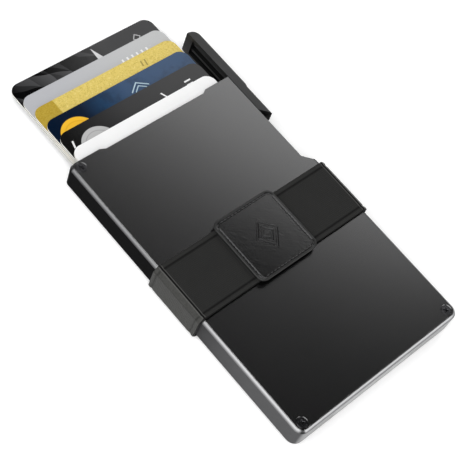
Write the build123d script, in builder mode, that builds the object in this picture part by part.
from build123d import *
from math import cos, radians, sin
import os

# Slim fan-out card wallet lying on the back of its elastic strap, slider pushed out.
# Origin: centre of the strap's back face.
# +X to the slider, +Y out of the card mouth, +Z out of the front plate.

os.makedirs("parts", exist_ok=True)

# Cards, to the ID-1 format
card_width = 53.98
card_length = 85.60
card_thickness = 0.76
card_corner = 3.18
card_pitch = 0.82
card_names = ["card_black", "card_silver", "card_gold", "card_navy", "card_charcoal", "card_white"]
card_travel = [34.3, 28.7, 23.3, 17.6, 11.6, 5.3]

# Case
plate_width = 63.6
plate_length = 99.15
plate_thickness = 1.2
case_depth = 8.4
rim = 0.8
rim_chamfer = 0.75
plate_fit = 0.05
plate_corner = 2.0
plate_edge_break = 0.12
case_corner = 3.0
mouth_corner = 1.6
strap_width = 19.8
strap_thickness = 1.0
strap_fit = 0.1
plate_bottom = -49.85
plate_top = plate_bottom + plate_length
plate_left = -plate_width / 2
plate_right = plate_width / 2
case_left = plate_left - rim
case_right = plate_right + rim
case_bottom = plate_bottom - rim
back_face = strap_thickness + strap_fit
front_face = back_face + case_depth
front_inside = front_face - plate_thickness
back_inside = back_face + plate_thickness
middle_z = (back_face + front_face) / 2

# Card pocket inside the case
pocket_left = -28.3
pocket_right = 26.1
pocket_bottom = plate_bottom + 3.0
pocket_corner = 1.5
card_center = (pocket_left + pocket_right) / 2
liner_thickness = 0.2
liner_edge = 0.1
liner_setback = 1.6
front_card_face = front_face - 1.5
card_closed_bottom = plate_bottom + 12.9

# Notch for the thumb in the mouth edge of the front plate
thumb_notch = [(-21.4, 0.0), (-19.4, -0.9), (18.3, -0.9), (19.9, 0.0)]

# Side step, where the slider lies beside the plates
step_x = 29.2
step_top = plate_bottom + 64.95
step_slope = 1.117
slider_fit = 0.05
margin = 5.0

# Slider
slider_travel = 19.5
slider_tip = plate_top + slider_travel
slider_wall = 1.2
slider_end_wall = 2.9
slider_tip_radius = 2.8
slider_outer_x = case_right - 0.5
slider_proud = 0.35
slider_proud_from = plate_bottom + 94.2
slider_ramp = 1.2
slider_end_gap = 0.2
rib_height = 0.9
rib_inner_x = 30.0
rib_gap = 0.1
slider_edge_break = 0.35

# Guide rail, the tongue of which runs between the slider's ribs
rail_outer_x = 29.6
rail_tongue_x = 31.0
rail_top = plate_bottom + 96.0
rail_bottom = step_top + 0.1
rail_back = front_face - 6.1
rail_pad_length = 3.0
rail_front = front_inside - 0.02
tongue_front = front_face - 3.3
tongue_back = front_face - 5.1

# Fan lever: one arm for each card, turning in the lower left corner of the pocket
pivot = (plate_left + 7.0, plate_bottom + 9.4)
pivot_radius = 1.25
pivot_fit = 0.05
pivot_spigot_radius = 0.8
pivot_spigot_length = 0.6
pivot_end_play = 0.05
hub_radius = 3.1
arm_tip_radius = 2.0
lever_angle = 45.0
cam_wall = 1.2
cam_arms = 2
cam_reach = (14.0, 33.0)

# Drive plate with its stud, fixed to the slider
drive_thickness = 0.4
drive_front = front_face - 6.45
stud_radius = 1.0
stud_fit = 0.1
stud_x = pivot[0] + 21.0
stud_drop = 3.0
stud_height = 1.6
drive_arm_width = 6.0
drive_strip = (15.2, 25.6)
drive_tab = (plate_bottom + 85.0, plate_bottom + 92.0)
drive_tab_x = 31.0
rivet_x = 30.2
rivet_radius = 0.5
rivet_head_radius = 0.9
rivet_head = 0.2
rivet_bite = 0.6
rivet_inset = 1.8
boss_radius = 0.9

# Leaf springs
leaf_thickness = 0.15
card_leaf = {"x": -29.1, "bow": 0.75, "center_y": 2.0, "length": 34.0, "height": 4.0}
detent_leaf = {"x": 30.45, "bow": 0.7, "center_y": 40.0, "length": 8.0, "height": 1.4}
leaf_gap = 0.15
leaf_end_gap = 0.5

# Fasteners
screw_spots = [(-29.6, 47.05), (-29.6, -47.65), (29.6, -47.65), (29.6, 7.15)]
screw_head_radius = 1.7
screw_shank_radius = 0.8
screw_head_depth = 0.9
screw_length = 3.8
screw_fit = 0.02
cross_width = 0.45
cross_length = 2.1
cross_depth = 0.5

# Insert in the bottom edge
insert_left = plate_left + 13.1
insert_right = plate_left + 45.0
insert_height = 4.4
insert_depth = 1.5
insert_fit = 0.08
insert_corner = 0.4

# Strap and leather patch
strap_bend = 1.4
strap_inner_bend = 0.8
strap_front = front_face + strap_fit + strap_thickness
patch_size = (23.0, 22.6)
patch_y = 0.25
patch_corner = 2.5
backing_inset = 1.6
backing_thickness = 0.2
patch_thickness = 0.7
patch_round = 0.3
stitch_inset = 1.1
stitch_length = 0.9
stitch_pitch = 1.35
stitch_width = 0.24
stitch_height = 0.12


def save(piece, name):
    piece.part.label = name
    export_step(piece.part, f"parts/{name}.step")


def card_front(index):
    """Height of the front face of a card, counted from the rear card."""
    return front_card_face - (len(card_names) - 1 - index) * card_pitch


def turned(point, angle):
    """A point of the closed lever, given from the pivot, turned by an angle in degrees."""
    a = radians(angle)
    x = pivot[0] + point[0] * cos(a) - point[1] * sin(a)
    y = pivot[1] + point[0] * sin(a) + point[1] * cos(a)
    return (x, y)


def cam_point(share):
    """Where the stud lies in the lever at a share of the slider's travel, lever open."""
    stud = (stud_x - pivot[0], share * slider_travel - stud_drop)
    return turned(stud, lever_angle * (1 - share))


def step_edge(offset):
    """Outline of what lies outside the plates beside the slider, moved along Y."""
    far = case_right + margin
    low = step_top - step_slope * (far - step_x)
    high = slider_tip + margin
    return [(step_x, step_top + offset), (far, low + offset), (far, high), (step_x, high)]


def plate_outline(grow):
    """Outline of both plates, grown by a fit allowance."""
    with BuildSketch() as outline:
        with Locations(((plate_left + plate_right) / 2, (plate_bottom + plate_top) / 2)):
            Rectangle(plate_width, plate_length)
        fillet(outline.vertices().group_by(Axis.Y)[0], plate_corner)
        fillet(outline.vertices().group_by(Axis.Y)[-1].sort_by(Axis.X)[0], mouth_corner)
        with BuildLine():
            Polyline(*step_edge(0), close=True)
        make_face(mode=Mode.SUBTRACT)
        offset(amount=grow, kind=Kind.INTERSECTION)
    return outline.sketch


def build_plate(name, inner_z, screw_top, thumb):
    """One of the two cover plates, with countersunk screw holes."""
    flip = 1 if thumb else -1
    with BuildPart() as plate:
        with BuildSketch(Plane.XY.offset(min(inner_z, screw_top))):
            add(plate_outline(-plate_fit))
        extrude(amount=plate_thickness)
        if thumb:
            with BuildSketch(Plane.XY.offset(inner_z)):
                with BuildLine():
                    Polyline(*[(x, plate_top + y) for x, y in thumb_notch], close=True)
                make_face()
            extrude(amount=plate_thickness, mode=Mode.SUBTRACT)
        outside = plate.faces().sort_by(Axis.Z)[-1 if thumb else 0]
        chamfer(outside.edges(), plate_edge_break)
        for x, y in screw_spots:
            with BuildSketch(Plane((x, y, screw_top))):
                Circle(screw_head_radius + screw_fit)
            with BuildSketch(Plane((x, y, screw_top - flip * screw_head_depth))):
                Circle(screw_shank_radius + screw_fit)
            loft(mode=Mode.SUBTRACT)
            with Locations((x, y, (inner_z + screw_top) / 2)):
                Cylinder(screw_shank_radius + screw_fit, plate_thickness, mode=Mode.SUBTRACT)
        with Locations((*pivot, inner_z)):
            Cylinder(pivot_spigot_radius + screw_fit, 2 * pivot_spigot_length, mode=Mode.SUBTRACT)
    save(plate, name)


def build_frame():
    """U-shaped frame: left rail, bottom rail and the block below the slider."""
    middle_y = (case_bottom + plate_top) / 2
    with BuildPart() as frame:
        with BuildSketch(Plane.XY.offset(back_face)) as outline:
            with Locations((0, middle_y)):
                Rectangle(case_right - case_left, plate_top - case_bottom)
            fillet(outline.vertices().group_by(Axis.Y)[0], case_corner)
            fillet(outline.vertices().group_by(Axis.Y)[-1], mouth_corner)
        extrude(amount=case_depth)
        faces = frame.faces().sort_by(Axis.Z)
        rims = faces[0].edges() + faces[-1].edges()
        chamfer([edge for edge in rims if edge.center().Y < plate_top - 0.01], rim_chamfer)
        with BuildSketch(Plane.XY.offset(back_face)) as pocket:
            with Locations((card_center, (pocket_bottom + slider_tip) / 2)):
                Rectangle(pocket_right - pocket_left, slider_tip - pocket_bottom)
            fillet(pocket.vertices().group_by(Axis.Y)[0], pocket_corner)
        extrude(amount=case_depth, mode=Mode.SUBTRACT)
        with BuildSketch(Plane.XY.offset(back_face)):
            with BuildLine():
                Polyline(*step_edge(0), close=True)
            make_face()
            with Locations(((pocket_right + step_x) / 2, (step_top + slider_tip) / 2)):
                Rectangle(step_x - pocket_right, slider_tip - step_top)
        extrude(amount=case_depth, mode=Mode.SUBTRACT)
        for z in (back_face, front_inside):
            with BuildSketch(Plane.XY.offset(z)):
                add(plate_outline(0))
            extrude(amount=plate_thickness, mode=Mode.SUBTRACT)
        with Locations(*[(x, y, middle_z) for x, y in screw_spots]):
            Cylinder(screw_shank_radius + screw_fit, case_depth, mode=Mode.SUBTRACT)
        with Locations(((insert_left + insert_right) / 2, case_bottom, middle_z)):
            Box(
                insert_right - insert_left + 2 * insert_fit,
                2 * (insert_depth + insert_fit),
                insert_height + 2 * insert_fit,
                mode=Mode.SUBTRACT,
            )
        leaf_depth = pocket_left - card_leaf["x"] + leaf_thickness + leaf_gap
        with Locations((pocket_left, card_leaf["center_y"], middle_z)):
            Box(
                2 * leaf_depth,
                card_leaf["length"] + 2 * leaf_end_gap,
                card_leaf["height"] + 2 * leaf_gap,
                mode=Mode.SUBTRACT,
            )
    save(frame, "case_frame")


def build_liner(name, z):
    """Thin low-friction sheet that the cards and the drive plate slide on."""
    width = pocket_right - pocket_left - 2 * liner_edge
    low = pocket_bottom + liner_edge
    high = plate_top - liner_setback
    with BuildPart() as liner:
        with BuildSketch(Plane.XY.offset(z)) as outline:
            with Locations((card_center, (low + high) / 2)):
                Rectangle(width, high - low)
            fillet(outline.vertices(), pocket_corner)
            with Locations(pivot):
                Circle(pivot_radius + pivot_fit, mode=Mode.SUBTRACT)
        extrude(amount=liner_thickness)
    save(liner, name)


def build_screws(name, face_z, flip):
    """Four countersunk screws with a cross recess; flip is 1 on the front, -1 on the back."""
    with BuildPart() as screws:
        for x, y in screw_spots:
            with BuildSketch(Plane((x, y, face_z))):
                Circle(screw_head_radius)
            with BuildSketch(Plane((x, y, face_z - flip * screw_head_depth))):
                Circle(screw_shank_radius)
            loft()
            with Locations((x, y, face_z - flip * (screw_head_depth + screw_length) / 2)):
                Cylinder(screw_shank_radius, screw_length - screw_head_depth)
            with Locations((x, y, face_z)):
                Box(cross_length, cross_width, 2 * cross_depth, mode=Mode.SUBTRACT)
                Box(cross_width, cross_length, 2 * cross_depth, mode=Mode.SUBTRACT)
    save(screws, name)


def build_insert():
    """Flush strip in the bottom edge of the frame."""
    with BuildPart() as insert:
        with Locations(((insert_left + insert_right) / 2, case_bottom, middle_z)):
            Box(
                insert_right - insert_left,
                insert_depth,
                insert_height,
                align=(Align.CENTER, Align.MIN, Align.CENTER),
            )
        fillet(insert.edges().filter_by(Axis.Y), insert_corner)
    save(insert, "bottom_insert")


def build_slider():
    """Channel-shaped slider, open towards the cards, with a closed tip."""
    low = step_top - step_slope * (case_right - step_x)
    inner_x = step_x + slider_fit
    with BuildPart() as slider:
        with BuildSketch(Plane.XY.offset(back_face)) as outline:
            with BuildLine():
                Polyline(
                    (inner_x, low),
                    (slider_outer_x, low),
                    (slider_outer_x, slider_proud_from - slider_ramp),
                    (slider_outer_x + slider_proud, slider_proud_from),
                    (slider_outer_x + slider_proud, slider_tip),
                    (inner_x, slider_tip),
                    close=True,
                )
            make_face()
            fillet(outline.vertices().group_by(Axis.Y)[-1].sort_by(Axis.X)[-1], slider_tip_radius)
            with BuildLine():
                Polyline(*step_edge(slider_travel + slider_end_gap), close=True)
            make_face(mode=Mode.INTERSECT)
        extrude(amount=case_depth)
        faces = slider.faces().sort_by(Axis.Z)
        rims = faces[0].edges() + faces[-1].edges()
        chamfer([edge for edge in rims if edge.center().X > slider_outer_x - 1], slider_edge_break)
        with BuildSketch(Plane.XZ.offset(-(slider_tip - slider_end_wall))) as channel:
            with Locations((step_x, middle_z)):
                Rectangle(
                    case_right - slider_wall - step_x,
                    case_depth - 2 * slider_wall,
                    align=(Align.MIN, Align.CENTER),
                )
            rib_width = case_right - slider_wall - rib_inner_x
            with Locations((rib_inner_x, tongue_front + rib_gap)):
                Rectangle(rib_width, rib_height, align=(Align.MIN, Align.MIN), mode=Mode.SUBTRACT)
            with Locations((rib_inner_x, tongue_back - rib_gap)):
                Rectangle(rib_width, rib_height, align=(Align.MIN, Align.MAX), mode=Mode.SUBTRACT)
        extrude(amount=slider_tip - low, mode=Mode.SUBTRACT)
        boss_height = drive_front - drive_thickness - back_inside
        with Locations(*[(rivet_x, y, back_inside) for y in rivet_rows()]):
            Cylinder(boss_radius, boss_height, align=(Align.CENTER, Align.CENTER, Align.MIN))
            Cylinder(rivet_radius, 2 * rivet_bite + 2 * boss_height, mode=Mode.SUBTRACT)
    save(slider, "eject_slider")


def rivet_rows():
    """Y of the two rivets in the tab of the drive plate."""
    return (drive_tab[0] + rivet_inset, drive_tab[1] - rivet_inset)


def build_rail():
    """Guide rail beside the pocket, with a tongue for the slider's ribs."""
    with BuildPart() as rail:
        with BuildSketch(Plane.XZ.offset(-rail_bottom)):
            with Locations((pocket_right, rail_back)):
                Rectangle(rail_outer_x - pocket_right, rail_front - rail_back, align=(Align.MIN, Align.MIN))
            with Locations((pocket_right, tongue_back)):
                tongue_height = tongue_front - tongue_back
                Rectangle(rail_tongue_x - pocket_right, tongue_height, align=(Align.MIN, Align.MIN))
        extrude(amount=-(rail_top - rail_bottom))
        with Locations((pocket_right, rail_top, back_inside)):
            Box(
                step_x - pocket_right,
                rail_pad_length,
                rail_front - back_inside,
                align=(Align.MIN, Align.MAX, Align.MIN),
            )
        leaf_depth = rail_tongue_x - detent_leaf["x"] + leaf_thickness + leaf_gap
        with Locations((rail_tongue_x, detent_leaf["center_y"], (tongue_front + tongue_back) / 2)):
            Box(2 * leaf_depth, detent_leaf["length"] + leaf_end_gap, margin, mode=Mode.SUBTRACT)
    save(rail, "slider_guide_rail")


def build_leaf(name, leaf, middle_z):
    """Bowed leaf spring, its crown towards +X."""
    half = leaf["length"] / 2
    with BuildPart() as spring:
        with BuildSketch(Plane.XY.offset(middle_z - leaf["height"] / 2)):
            with BuildLine() as line:
                ThreePointArc(
                    (leaf["x"], leaf["center_y"] - half),
                    (leaf["x"] + leaf["bow"], leaf["center_y"]),
                    (leaf["x"], leaf["center_y"] + half),
                )
            trace(line.edges(), leaf_thickness)
        extrude(amount=leaf["height"])
    save(spring, name)


def build_lever():
    """Stepped lever: one layer for each card, the longest arm at the back, drawn open."""
    with BuildPart() as lever:
        for index, travel in enumerate(card_travel):
            reach = travel / sin(radians(lever_angle))
            layer_bottom = card_front(index) - card_thickness - (card_pitch - card_thickness) / 2
            with BuildSketch(Plane.XY.offset(layer_bottom)):
                with Locations(pivot):
                    Circle(hub_radius)
                with Locations(turned((reach, 0), lever_angle)):
                    Circle(arm_tip_radius)
                make_hull()
                if index < cam_arms:
                    add(cam_flange())
            extrude(amount=card_pitch)
        with BuildSketch(Plane.XY.offset(back_face)):
            add(cam_slot())
        cam_top = card_front(cam_arms - 1) + (card_pitch - card_thickness) / 2
        extrude(amount=cam_top - back_face, mode=Mode.SUBTRACT)
        with Locations((*pivot, middle_z)):
            Cylinder(pivot_radius + pivot_fit, case_depth, mode=Mode.SUBTRACT)
    save(lever, "fan_lever")


def cam_flange():
    """Widened part of the rear arms, around the cam slot."""
    with BuildSketch() as flange:
        along_arm = [turned((reach, 0), lever_angle) for reach in cam_reach]
        with Locations(*along_arm, *[cam_point(share) for share in (0, 0.5, 1)]):
            Circle(stud_radius + stud_fit + cam_wall)
        make_hull()
    return flange.sketch


def cam_slot():
    """Curved slot that turns the lever evenly with the slider."""
    with BuildSketch() as slot:
        with BuildLine() as path:
            Spline(*[cam_point(share / 8) for share in range(9)])
        trace(path.edges(), 2 * (stud_radius + stud_fit))
        with Locations(cam_point(0), cam_point(1)):
            Circle(stud_radius + stud_fit)
    return slot.sketch


def build_pivot_pin():
    with BuildPart() as pin:
        with Locations((*pivot, middle_z)):
            length = front_inside - back_inside - 2 * pivot_end_play
            Cylinder(pivot_radius, length)
            Cylinder(pivot_spigot_radius, length + 2 * pivot_spigot_length)
    save(pin, "lever_pivot_pin")


def build_drive():
    """Sheet behind the cards that carries the slider's push to the lever, and its stud."""
    stud_y = pivot[1] - stud_drop + slider_travel
    low = stud_y - drive_arm_width / 2
    high = stud_y + drive_arm_width / 2
    left = stud_x - drive_arm_width / 2
    corners = [
        (left, low),
        (drive_strip[1], low),
        (drive_strip[1], drive_tab[0]),
        (drive_tab_x, drive_tab[0]),
        (drive_tab_x, drive_tab[1]),
        (drive_strip[0], drive_tab[1]),
        (drive_strip[0], high),
        (left, high),
    ]
    sheet_bottom = drive_front - drive_thickness
    with BuildPart() as drive:
        with BuildSketch(Plane.XY.offset(sheet_bottom)) as outline:
            with BuildLine():
                Polyline(*corners, close=True)
            make_face()
            fillet(outline.vertices(), 0.8)
            with Locations((stud_x, stud_y)):
                Circle(stud_radius / 2 + screw_fit, mode=Mode.SUBTRACT)
            with Locations(*[(rivet_x, y) for y in rivet_rows()]):
                Circle(rivet_radius + screw_fit, mode=Mode.SUBTRACT)
        extrude(amount=drive_thickness)
    save(drive, "drive_plate")

    with BuildPart() as stud:
        with Locations((stud_x, stud_y, drive_front)):
            Cylinder(stud_radius, stud_height, align=(Align.CENTER, Align.CENTER, Align.MIN))
        with Locations((stud_x, stud_y, sheet_bottom)):
            Cylinder(stud_radius / 2, drive_thickness, align=(Align.CENTER, Align.CENTER, Align.MIN))
    save(stud, "drive_stud")

    with BuildPart() as rivets:
        for y in rivet_rows():
            with Locations((rivet_x, y, drive_front)):
                Cylinder(rivet_head_radius, rivet_head, align=(Align.CENTER, Align.CENTER, Align.MIN))
                Cylinder(
                    rivet_radius - screw_fit,
                    drive_front - back_inside + rivet_bite - stud_fit,
                    align=(Align.CENTER, Align.CENTER, Align.MAX),
                )
    save(rivets, "drive_rivets")


def build_strap():
    """Elastic band around the case."""
    half = case_right + strap_fit + strap_thickness
    with BuildPart() as strap:
        with BuildSketch(Plane.XZ.offset(-strap_width / 2)) as section:
            with Locations((0, strap_front / 2)):
                Rectangle(2 * half, strap_front)
            chamfer(section.vertices(), strap_bend)
            with BuildSketch(mode=Mode.SUBTRACT) as inside:
                with Locations((0, strap_front / 2)):
                    Rectangle(2 * (half - strap_thickness), strap_front - 2 * strap_thickness)
                chamfer(inside.vertices(), strap_inner_bend)
        extrude(amount=strap_width)
    save(strap, "strap_band")


def build_patch():
    """Leather patch over the strap's joined ends, with its backing and stitches."""
    with BuildPart() as backing:
        with BuildSketch(Plane.XY.offset(strap_front)):
            with Locations((0, patch_y)):
                RectangleRounded(
                    patch_size[0] - 2 * backing_inset,
                    patch_size[1] - 2 * backing_inset,
                    patch_corner - backing_inset / 2,
                )
        extrude(amount=backing_thickness)
    save(backing, "patch_backing")

    patch_bottom = strap_front + backing_thickness
    with BuildPart() as patch:
        with BuildSketch(Plane.XY.offset(patch_bottom)):
            with Locations((0, patch_y)):
                RectangleRounded(*patch_size, patch_corner)
        extrude(amount=patch_thickness)
        fillet(patch.faces().sort_by(Axis.Z)[-1].edges(), patch_round)
    save(patch, "leather_patch")

    run_x = patch_size[0] - 2 * stitch_inset
    run_y = patch_size[1] - 2 * stitch_inset
    with BuildPart() as stitches:
        for length, side, turn in ((run_x, run_y, 0), (run_y, run_x, 90)):
            count = int((length + 2 * stitch_inset - 2 * patch_corner) / stitch_pitch)
            for end in (-1, 1):
                for number in range(count):
                    along = (number - (count - 1) / 2) * stitch_pitch
                    across = end * side / 2
                    spot = (along, across + patch_y) if turn == 0 else (across, along + patch_y)
                    with BuildSketch(Plane.XY.offset(patch_bottom + patch_thickness)):
                        with Locations(Location(spot, turn)):
                            SlotOverall(stitch_length, stitch_width)
                    extrude(amount=stitch_height)
    save(stitches, "patch_stitches")


def build_cards():
    """Six ID-1 cards, fanned by the travel of each, the rear card furthest out."""
    for index, name in enumerate(card_names):
        low = card_closed_bottom + card_travel[index]
        with BuildPart() as card:
            with BuildSketch(Plane.XY.offset(card_front(index) - card_thickness)):
                with Locations((card_center, low + card_length / 2)):
                    RectangleRounded(card_width, card_length, card_corner)
            extrude(amount=card_thickness)
        save(card, name)


build_plate("front_plate", front_inside, front_face, True)
build_plate("back_plate", back_inside, back_face, False)
build_frame()
build_liner("front_liner", front_inside - liner_thickness)
build_liner("back_liner", back_inside)
build_screws("front_screws", front_face, 1)
build_screws("back_screws", back_face, -1)
build_insert()
build_slider()
build_rail()
build_leaf("card_leaf_spring", card_leaf, middle_z)
build_leaf("detent_leaf_spring", detent_leaf, (tongue_front + tongue_back) / 2)
build_lever()
build_pivot_pin()
build_drive()
build_strap()
build_patch()
build_cards()
